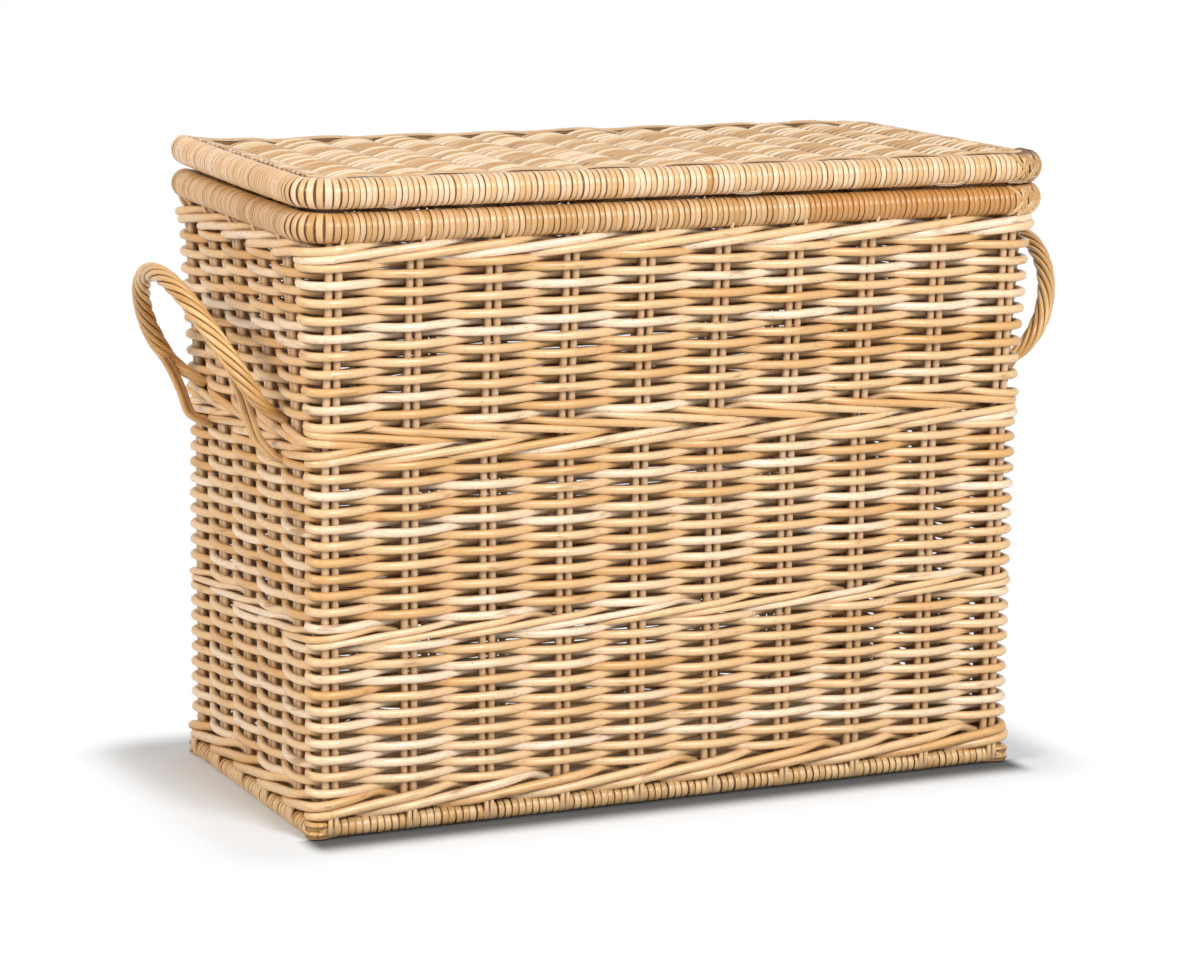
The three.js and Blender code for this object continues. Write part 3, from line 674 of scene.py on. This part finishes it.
def roundedLine(centre, halfX, halfY, corner, steps):  # closed line round a rectangle: place and way out
    points = []
    for quarter, (signX, signY) in enumerate(((1, -1), (1, 1), (-1, 1), (-1, -1))):
        hub = centre + Vector((signX * (halfX - corner), signY * (halfY - corner), 0))
        for k in range(steps + 1):
            angle = math.pi / 2 * (quarter - 1 + k / steps)
            way = Vector((math.cos(angle), math.sin(angle), 0))
            points.append((hub + way * corner, way))
    return points


def hoopLine(node):
    low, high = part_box(node)
    tube = (high.z - low.z) / 2
    centre = (low + high) / 2 + up * hoopLook["lift"][node]
    size = (high - low) / 2
    return roundedLine(centre, size.x - tube, size.y - tube, hoopLook["corner"], hoopLook["cornerSteps"])


curlLook = {"basket": 0.0068, "lid": 0.0085, "reach": (0.06, 0.5)}


def curlUp(piece, body):  # the back left corner of both rims stands a little high
    low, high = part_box("lid_rim")
    tube = (high.z - low.z) / 2
    for vertex in piece.data.vertices:
        fromEnd = max(0, vertex.co.x - low.x - tube) / curlLook["reach"][0]
        fromBack = max(0, high.y - tube - vertex.co.y) / curlLook["reach"][1]
        vertex.co.z += curlLook[body] * max(0, 1 - fromEnd) ** 2 * max(0, 1 - fromBack) ** 2


def wrapPole(name, line, isClosed, finish, radius, look, seed):
    guide = guideMesh(name + " guide", [line], isClosed)
    return growPiece(name, wrapTree, guide, finish, {
        "Radius": radius, "Pitch": look["pitch"], "Width": look["width"], "Thickness": look["thickness"],
        "Tilt": look["tilt"], "Uneven": look["uneven"], "Sides": look["sides"], "Seed": seed})


def isSquare(way):  # straight out of a side, not round a corner
    return max(abs(way.x), abs(way.y)) > 0.999


for body, finish, seed in (("basket", rimPeel, 41), ("lid", lidPeel, 47)):
    node = body + "_rim"
    line = [(place, way, up, 1 if isSquare(way) else hoopLook["spread"]) for place, way in hoopLine(node)]
    piece = wrapPole(node + "_wrap", line, True, finish, hoopLook["radius"], hoopLook, seed)
    curlUp(piece, body)
    dress(piece, body, node + "_peel", node)


# Ties: closed loops of cane, upright across what they bind

def tieLoop(centre, way, halfWide, halfTall, rise=up, steps=20):
    points = []
    for k in range(steps):
        angle = 2 * math.pi * k / steps
        place = centre + way * (halfWide * math.cos(angle)) + rise * (halfTall * math.sin(angle))
        points.append((place, way, up, halfway))
    return points


rimTies = {"radius": 0.0019, "halfWide": 0.0085, "halfTall": 0.0126, "drop": 0.0072, "ahead": 0.004}
rimLow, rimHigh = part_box("basket_rim")
rimLines = []
for side in sides:
    out = outwards[side]
    along = up.cross(out)
    edge = (rimHigh if out.x + out.y > 0 else rimLow) - out * (rimHigh.z - rimLow.z) / 2
    for i in range(pairCounts[side]):
        spot = stakeSpot(side, i + 1) + along * rimTies["ahead"]
        height = middle("basket_rim").z - rimTies["drop"]
        spot = Vector((edge.x if out.x else spot.x, edge.y if out.y else spot.y, height))
        rimLines.append(tieLoop(spot, out, rimTies["halfWide"], rimTies["halfTall"]))
piece = plainRods("rim_ties", rimLines, True, rimTieCane, rimTies["radius"], sides=6, seed=61)
curlUp(piece, "basket")
dress(piece, "basket", "basket_rim_peel", "basket_rim")

braidLook = {"radius": 0.0021, "strips": 6, "tilt": math.radians(38), "reach": 0.0128, "uneven": 0.0006}
for body, finish in (("basket", rimTieCane), ("lid", lidCane)):
    node = body + "_rim"
    quarter = hoopLine(node)[:hoopLook["cornerSteps"] + 1]
    lines = []
    for hand in (-1, 1):
        for k in range(braidLook["strips"]):
            place, way = quarter[1 + round(k * (len(quarter) - 3) / (braidLook["strips"] - 1))]
            rise = up * math.cos(braidLook["tilt"]) + up.cross(way) * (hand * math.sin(braidLook["tilt"]))
            reach = braidLook["reach"] + braidLook["uneven"] * (k % 2) * hand
            lines.append(tieLoop(place, way, reach, reach / math.cos(braidLook["tilt"]), rise))
    piece = plainRods(node + "_braid", lines, True, finish, braidLook["radius"], sides=8, seed=63)
    dress(piece, body, node + "_peel", node)

stripEnds = {"radius": 0.0013, "spans": ((-0.302, -0.28), (0.035, 0.078), (0.245, 0.292), (0.325, 0.36)),
             "out": 0.0078, "under": 0.0118, "heights": (0.004, 0.0, -0.0006, 0.0, 0.004)}
rimLow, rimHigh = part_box("lid_rim")
frontLine = rimLow.y + (rimHigh.z - rimLow.z) / 2 - stripEnds["out"]
level = middle("lid_rim").z + hoopLook["lift"]["lid_rim"] - stripEnds["under"]
lines = []
for first, last in stripEnds["spans"]:
    pace = (last - first) / (len(stripEnds["heights"]) - 1)
    lines.append([(Vector((first + pace * k, frontLine, level + height)), up, up, halfway)
                  for k, height in enumerate(stripEnds["heights"])])
piece = plainRods("lid_strip_ends", lines, False, lidCane, stripEnds["radius"], sides=6, seed=64)
dress(piece, "lid", "lid_rim_peel", "lid_rim")


# Lid: thin cane woven from end to end over ribs, and a wale of thin rods round its edge

lidLook = {"rows": 53, "radius": 0.0028, "ribRadius": 0.003, "swing": 0.006, "samplesPerRib": 10,
           "overrun": 0.008, "sway": 0.0026, "swayScale": 16.0}
ribNodes = [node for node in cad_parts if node.startswith("lid_rib_")]
firstRib = middle("lid_rib_1")
ribPitch = (middle("lid_rib_2").x - firstRib.x) / 2  # the frame's ribs are every second one
ribs = [firstRib + Vector((ribPitch * (i - 1), 0, 0)) for i in range(2 * len(ribNodes) + 1)]
lidLow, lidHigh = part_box("lid_panel")
lidSpan = lidHigh.x - lidLow.x
strandPitch = (lidHigh.y - lidLow.y) / lidLook["rows"]
strandSteps = round(lidSpan / ribPitch * lidLook["samplesPerRib"])
back = Vector((0, 1, 0))
strand = []
for k in range(strandSteps + 1):
    x = lidLow.x - lidLook["overrun"] + (lidSpan + 2 * lidLook["overrun"]) * k / strandSteps
    place = Vector((x, lidLow.y + strandPitch / 2, firstRib.z))
    strand.append((place, up, back, (x - firstRib.x) / ribPitch))
piece = growPiece("lid_strands", weaveTree, guideMesh("lid guide", [strand], False), lidCane, {
    **handwork(lidLook), "Rows": lidLook["rows"], "Row pitch": strandPitch, "Swing": lidLook["swing"],
    "Rod radius": lidLook["radius"], "Sides": 8, "Seed": 51})
curlUp(piece, "lid")
dress(piece, "lid", "lid_cane", "lid_panel")


def ribLine(x, height, low, high):  # from front to back
    return [(Vector((x, y, height)), up, back, halfway) for y in (low.y, bodyMiddle, high.y)]


ribLines = [ribLine(rib.x, rib.z, lidLow, lidHigh) for rib in ribs]
piece = plainRods("lid_ribs", ribLines, False, stakeCane, lidLook["ribRadius"], sides=8, seed=53)
curlUp(piece, "lid")
dress(piece, "lid", "lid_cane", *ribNodes)

edgeLook = {"radius": 0.0026, "fromCorner": 0.00435, "lift": 0.0009, "dip": 0.0034, "dipRun": 2.2,
            "swell": 0.0018, "lap": 0.16, "aslant": 0.0024, "overrun": 0.004, "fine": 8, "sway": 0.002,
            "swayScale": 16.0, "frontRods": 9, "backRods": 8, "endRods": 4}
edgeLow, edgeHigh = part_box("lid_edge_rod")
edgeHeight = edgeHigh.z - edgeLook["radius"] + edgeLook["lift"]
edgeLines = []
for side in sides:
    out = outwards[side]
    along = up.cross(out)
    inset = Vector((edgeHigh.x, bodyMiddle - edgeLow.y, 0)) - Vector((1, 1, 0)) * edgeLook["radius"]
    reach = abs(inset.dot(out))
    half = abs(inset.dot(along)) - edgeLook["fromCorner"]
    rods = edgeLook["endRods"] if out.x else edgeLook[side + "Rods"]
    length = 2 * half / rods
    for i in range(rods):
        line = []
        for k in range(edgeLook["fine"] + 1):
            t = k / edgeLook["fine"] * (1 + edgeLook["lap"])
            dip = edgeLook["dip"] * (1 - min(1, t * edgeLook["dipRun"])) ** 2
            height = edgeHeight + edgeLook["swell"] * math.sin(math.pi * min(t, 1)) - dip
            place = Vector((0, bodyMiddle, height)) + out * (reach + edgeLook["aslant"] * (t - 0.5))
            place += along * min(half + edgeLook["overrun"], length * (i + t) - half)
            line.append((place, up, out, halfway))
        edgeLines.append(line)
piece = plainRods("lid_edge", edgeLines, False, lidCane, edgeLook["radius"], sides=8, seed=55,
                  more=handwork(edgeLook))
curlUp(piece, "lid")
dress(piece, "lid", "lid_cane", "lid_edge_rod")


# Hinge loops: turns of cane round both rims at the back

hingeLook = {"radius": 0.0014, "turns": 8, "clear": 0.0149, "steps": 9}
for node in ("left_hinge_loop", "right_hinge_loop"):
    low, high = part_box(node)
    width = high.x - low.x - 2 * hingeLook["radius"]
    reach = (high.z - low.z) / 2 - (high.y - low.y) / 2
    points = []
    for sign in (1, -1):
        hub = Vector((low.x + hingeLook["radius"], middle(node).y, middle(node).z + sign * reach))
        for k in range(hingeLook["steps"] + 1):
            angle = math.pi * k / hingeLook["steps"]
            way = Vector((0, math.cos(angle), math.sin(angle))) * sign
            points.append((hub + way * hingeLook["clear"], way, Vector((1, 0, 0)), halfway))
    piece = growPiece(node + "_turns", weaveTree, guideMesh(node + " guide", [points], True), ropeCane, {
        "Rows": hingeLook["turns"], "Row pitch": width / (hingeLook["turns"] - 1),
        "Rod radius": hingeLook["radius"], "Sides": 8, "Seed": 65})
    dress(piece, "basket", "rope_cane", node)


# Rope handles: strands laid round an arch, single rods as tails

handleLook = {
    "halfWide": 0.118, "top": 0.074, "waist": 0.04, "taper": 0.2, "reach": {"left": 0.07, "right": 0.086},
    "curl": 0.66, "standOff": 0.005, "back": 0.0101, "rise": 0.0093, "rootDrop": 0.008, "rootDepth": 0.008,
    "strands": 7, "strandRadius": 0.0027, "layRadius": 0.006, "coreRadius": 0.0036, "slimming": 0.6,
    "lay": -0.125, "step": 0.004, "points": 24, "tailRadius": 0.0029, "tailSpread": 0.0027,
}
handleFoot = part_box("middle_wale_upper")[1].z + handleLook["rise"]
nearTail = ((0.117, 0.043, 0.034), (0.113, 0.0345, 0.018), (0.103, 0.0245, -0.004), (0.101, 0.0165, -0.024),
            (0.105, 0.0055, -0.038), (0.107, -0.002, -0.043), (0.108, -0.012, -0.046))
farTail = ((0.11, 0.031, 0.018), (0.107, 0.0235, 0.003), (0.101, 0.0175, -0.014), (0.0955, 0.0125, -0.032),
           (0.091, 0.003, -0.04), (0.089, -0.01, -0.046))


def handlePath(face, side):  # the rope's middle line: a horseshoe that leans out of the wall, and its tails
    out = outwards[side]
    along = up.cross(out)
    foot = Vector((0, bodyMiddle + handleLook["back"], handleFoot)) + out * face

    def spot(across, reach, height):
        return foot + out * reach + along * across + up * height

    top, waist = handleLook["top"], handleLook["waist"]
    rootAngle = -math.asin(waist / top)

    def acrossAt(angle):
        return handleLook["halfWide"] * math.cos(angle) * (1 - handleLook["taper"] * math.sin(angle))

    leg = acrossAt(rootAngle)
    points = [spot(-leg, -handleLook["rootDepth"], -handleLook["rootDrop"])]
    for k in range(handleLook["points"] + 1):
        angle = rootAngle + (math.pi - 2 * rootAngle) * k / handleLook["points"]
        high = max(0.0, waist + top * math.sin(angle))
        bowed = (high / (waist + top)) ** handleLook["curl"]
        reach = handleLook["standOff"] + handleLook["reach"][side] * bowed
        points.append(spot(-acrossAt(angle), reach, high))
    points.append(spot(leg, -handleLook["rootDepth"], -handleLook["rootDrop"]))
    toFront = along.dot(outwards["front"])
    tails = []
    for sign in (-1, 1):
        shape = nearTail if sign == toFront else farTail
        for hand in (-1, 1):
            apart = hand * handleLook["tailSpread"]  # the two rods of a tail lie side by side, aslant
            tails.append([
                spot(sign * (across + apart / 2), reach - apart, height) for across, reach, height in shape])
    return points, tails


def curved(points, steps):  # smooth line through points
    line = []
    ends = [points[0] * 2 - points[1]] + points + [points[-1] * 2 - points[-2]]
    for a, b, c, d in zip(ends, ends[1:], ends[2:], ends[3:]):
        for k in range(steps):
            t = k / steps
            line.append(b + (c - a) * t / 2 + (a * 2 - b * 5 + c * 4 - d) * t * t / 2
                        + (b * 3 - a - c * 3 + d) * t ** 3 / 2)
    return line + [points[-1]]


for side in ("left", "right"):
    out = outwards[side]
    node = side + "_handle"
    face = min(abs(corner.x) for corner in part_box(node))
    path, tails = handlePath(face, side)
    line = [(place, out, up, halfway) for place in curved(path, steps=3)]
    piece = growPiece(side + "_rope", ropeTree, guideMesh(node + " guide", [line], False), ropeCane, {
        "Strands": handleLook["strands"], "Lay": handleLook["lay"], "Lay radius": handleLook["layRadius"],
        "Step": handleLook["step"], "Slimming": handleLook["slimming"],
        "Rod radius": handleLook["strandRadius"], "Sides": 8, "Seed": 71})
    dress(piece, "basket", "rope_cane", node)
    piece = plainRods(
        side + "_rope_core", [line], False, ropeCane, handleLook["coreRadius"], sides=8, seed=73)
    dress(piece, "basket", "rope_cane", node)
    lines = [[(place, out, up, halfway) for place in curved(tail, steps=6)] for tail in tails]
    piece = plainRods(
        side + "_rope_tails", lines, False, tailCane, handleLook["tailRadius"], sides=8, seed=75)
    dress(piece, "basket", "rope_cane", node)


# Foot poles wrapped in peel and tied to the stakes, with short rods bent round the corners

footLook = {"thickness": 0.0014, "bedded": 0.7, "pitch": 0.0069, "width": 0.007, "tilt": 0.06,
            "uneven": 0.015, "sides": 18, "steps": 8, "endCut": 0.014}
footTies = {"radius": 0.0024, "spread": 0.0027, "tall": 0.0119, "lift": 0.0051, "clear": 0.0003}
footBends = {"radius": 0.0042, "heights": (0.0046, 0.0125), "corner": 0.012, "run": 0.013, "dip": 0.0035,
             "steps": 6}
footNodes = [side + "_foot_pole" for side in sides]
tieLines = []
bendLines = []
for number, (side, node) in enumerate(zip(sides, footNodes)):
    low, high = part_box(node)
    out = outwards[side]
    along = up.cross(out)
    radius = (high.z - low.z) / 2
    centre = (low + high) / 2
    half = abs((high - low).dot(along)) / 2 - (0 if out.x else footLook["endCut"])
    line = [(centre + along * half * (2 * k / footLook["steps"] - 1), out, up, 1)
            for k in range(footLook["steps"] + 1)]
    wrapRadius = radius - footLook["thickness"] * footLook["bedded"]
    piece = wrapPole(node + "_wrap", line, False, footPeel, wrapRadius, footLook, 81 + number)
    dress(piece, "basket", "foot_peel", node)
    for i in range(pairCounts[side]):
        for hand in (-1, 1):
            spot = stakeSpot(side, i + 1) + along * hand * footTies["spread"]
            spot = Vector((centre.x if out.x else spot.x, centre.y if out.y else spot.y, centre.z))
            spot += up * footTies["lift"]
            tieLines.append(tieLoop(spot, out, radius + footTies["clear"], footTies["tall"]))
    onward = (number + 1) % len(sides)
    outs = (out, outwards[sides[onward]])
    hub = Vector()
    for pole, way in zip((node, footNodes[onward]), outs):
        hub += way * (max(corner.dot(way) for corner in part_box(pole)) - footBends["corner"])
    reach = footBends["corner"] - footBends["radius"]
    for height in footBends["heights"]:
        level = hub + up * height
        angles = [math.pi / 2 * k / footBends["steps"] for k in range(footBends["steps"] + 1)]
        turn = [level + (outs[0] * math.cos(angle) + outs[1] * math.sin(angle)) * reach for angle in angles]
        tips = [level + way * (reach - footBends["dip"]) - other * footBends["run"]
                for way, other in (outs, outs[::-1])]
        bend = curved([tips[0], *turn, tips[1]], steps=3)
        bendLines.append([(place, up, up, halfway) for place in bend])
piece = plainRods("foot_corners", bendLines, False, ropeCane, footBends["radius"], sides=10, seed=87)
dress(piece, "basket", "foot_peel", *footNodes)
piece = plainRods("foot_ties", tieLines, True, footTieCane, footTies["radius"], sides=8, seed=85)
dress(piece, "basket", "foot_peel", *footNodes)


# Floor panel, woven like the walls

floorLook = {"pitch": 0.0082, "radius": 0.0036, "swing": 0.0032, "ribRadius": 0.003, "ribs": 9, "samples": 8}
floorLow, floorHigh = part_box("floor_panel")
floorHeight = (floorLow.z + floorHigh.z) / 2
floorPitch = (floorHigh.x - floorLow.x) / floorLook["ribs"]
line = []
for k in range(floorLook["ribs"] * floorLook["samples"] + 1):
    passed = k / floorLook["samples"]
    place = Vector((floorLow.x + floorPitch * passed, floorLow.y + floorLook["radius"], floorHeight))
    line.append((place, up, back, passed - 0.5))
piece = growPiece("floor_strands", weaveTree, guideMesh("floor guide", [line], False), rowCane, {
    "Rows": round((floorHigh.y - floorLow.y) / floorLook["pitch"]), "Row pitch": floorLook["pitch"],
    "Swing": floorLook["swing"], "Rod radius": floorLook["radius"], "Sides": 8, "Seed": 91})
dress(piece, "basket", "weave", "floor_panel")
lines = [ribLine(floorLow.x + floorPitch * (i + 0.5), floorHeight, floorLow, floorHigh)
         for i in range(floorLook["ribs"])]
piece = plainRods("floor_ribs", lines, False, stakeCane, floorLook["ribRadius"], sides=8, seed=93)
dress(piece, "basket", "weave", "floor_panel")


# Stage, light and camera

def area(name, place, aim, size, power, colour):
    lamp = bpy.data.lights.new(name, "AREA")
    lamp.shape = "RECTANGLE"
    lamp.size, lamp.size_y = size
    lamp.energy = power
    lamp.color = colour
    holder = bpy.data.objects.new(name, lamp)
    holder.location = place
    holder.rotation_mode = "QUATERNION"
    holder.rotation_quaternion = (Vector(aim) - Vector(place)).to_track_quat("-Z", "Y")
    bpy.context.scene.collection.objects.link(holder)


def seenWhite(board):  # what the camera, gloss and glass see of the backdrop
    path = board.add("ShaderNodeLightPath")
    seen = path.also("Is Camera Ray").to("MAXIMUM", path.also("Is Glossy Ray"))
    return seen.to("MAXIMUM", path.also("Is Transmission Ray"))


# the second floor tone and its reaches paint a contact shadow on the floor in front of the foot
studio = {"floorSize": 60.0, "shadowLean": 0.0125, "shadowReach": (0.09, 0.085, 1.0), "shadowFrom": 0.25,
          "floorTone": 0.84, "paintedShadowTone": 0.09, "cool": (0.95, 1.0, 1.06), "paintedShadowFrom": 0.01,
          "paintedShadowStart": 0.006, "paintedShadowReach": (0.062, 0.02), "paintedShadowEnds": (0.012, -0.008), "roughness": 0.9,
          "world": 0.28}
floorMesh = bpy.data.meshes.new("floor")
half = studio["floorSize"] / 2
corners = [(-half, -half, 0), (half, -half, 0), (half, half, 0), (-half, half, 0)]
floorMesh.from_pydata(corners, [], [(0, 1, 2, 3)])
floor = bpy.data.objects.new("floor", floorMesh)
bpy.context.scene.collection.objects.link(floor)
floorFinish, board, shader = newFinish("pale floor")
board.feed(shader.inputs["Roughness"], studio["roughness"])
glow = board.add("ShaderNodeEmission", None, {"Color": (1, 1, 1, 1), "Strength": 1.0})
footHalf = (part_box("bottom_wale")[1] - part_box("bottom_wale")[0]) / 2
lean = Vector((studio["shadowLean"], 0, 0))  # the shadow reaches a little further to the left
spot = board.add("ShaderNodeTexCoord").also("Object")
beyond = spot.to("ADD", tuple(lean)).to("ABSOLUTE").to("SUBTRACT", tuple(footHalf + lean))
beyond = beyond.to("MAXIMUM", (0, 0, 0))
away = beyond.to("DIVIDE", studio["shadowReach"]).to("LENGTH").also("Value")
white = board.ease(away, studio["shadowFrom"], 1.0)
ahead = studio["paintedShadowFrom"] - footHalf.y - board.parts(spot).also("Y")
beside = board.parts(spot.to("ABSOLUTE"))
# painted contact shadow: the floor is coloured dark in a strip just in front of the foot
paintedShadow = board.ease(ahead, 0.0, studio["paintedShadowStart"]) * board.ease(ahead, *studio["paintedShadowReach"])
paintedShadow = paintedShadow * board.ease(beside - footHalf.x, *studio["paintedShadowEnds"])  # dark where the foot meets the floor
pale, dark = ((*(studio[key] * share for share in studio["cool"]), 1) for key in ("floorTone", "paintedShadowTone"))
board.feed(shader.inputs["Base Color"], board.blend(paintedShadow, pale, dark))
mixed = board.add("ShaderNodeMixShader", None, {0: seenWhite(board) * white, 2: glow})
board.tree.links.new(shader.outputs[0], mixed.socket.node.inputs[1])
board.tree.links.new(mixed.socket, board.tree.nodes["Material Output"].inputs["Surface"])
floorMesh.materials.append(floorFinish)

world = bpy.data.worlds.new("studio")
bpy.context.scene.world = world
world.use_nodes = True
board = Board(world.node_tree)
seen = seenWhite(board)
background = world.node_tree.nodes["Background"]
board.feed(background.inputs["Color"], (1, 1, 1, 1))
board.feed(background.inputs["Strength"], studio["world"] + (1 - studio["world"]) * seen)

lamps = {
    "overhead": {"place": (0.15, 0.5, 2.9), "aim": (0, 0.1, 0.3), "size": (2.0, 1.4), "power": 6,
                 "colour": (1, 1, 1)},
    "key softbox": {"place": (0.5, -2.9, 2.2), "aim": (0, 0, 0.3), "size": (1.3, 1.0), "power": 92,
                    "colour": (1, 1, 1)},
    "left softbox": {"place": (-2.8, -0.7, 1.9), "aim": (0, 0, 0.3), "size": (1.0, 1.0), "power": 56,
                     "colour": (1, 0.93, 0.83)},
}
for name, lamp in lamps.items():
    area(name, **lamp)

photo = {"frameWidth": 1200, "focus": 3725.2, "yaw": 25.29, "pitch": 10.44, "roll": 0.77, "distance": 3.5697,
         "aimHeight": 0.3, "offset": (3.04, -26.34), "sensor": 36, "sight": 200}
yaw, pitch, roll = (math.radians(photo[key]) for key in ("yaw", "pitch", "roll"))
forward = Vector((math.sin(yaw) * math.cos(pitch), math.cos(yaw) * math.cos(pitch), -math.sin(pitch)))
right = Vector((math.cos(yaw), -math.sin(yaw), 0))
above = right.cross(forward)
camX = right * math.cos(roll) + above * math.sin(roll)
camY = above * math.cos(roll) - right * math.sin(roll)
lens = bpy.data.cameras.new("photo camera")
lens.sensor_fit = "HORIZONTAL"
lens.sensor_width = photo["sensor"]
lens.lens = photo["focus"] / photo["frameWidth"] * lens.sensor_width
lens.shift_x = -photo["offset"][0] / photo["frameWidth"]
lens.shift_y = photo["offset"][1] / photo["frameWidth"]
lens.clip_end = photo["sight"]
camera = bpy.data.objects.new("photo camera", lens)
spot = Vector((0, bodyMiddle, photo["aimHeight"])) - forward * photo["distance"]
axes = Matrix((camX, camY, -forward)).transposed().to_4x4()
camera.matrix_world = Matrix.Translation(spot) @ axes
bpy.context.scene.collection.objects.link(camera)
bpy.context.scene.camera = camera
bpy.context.scene.view_settings.view_transform = "Standard"

print("scene ready")
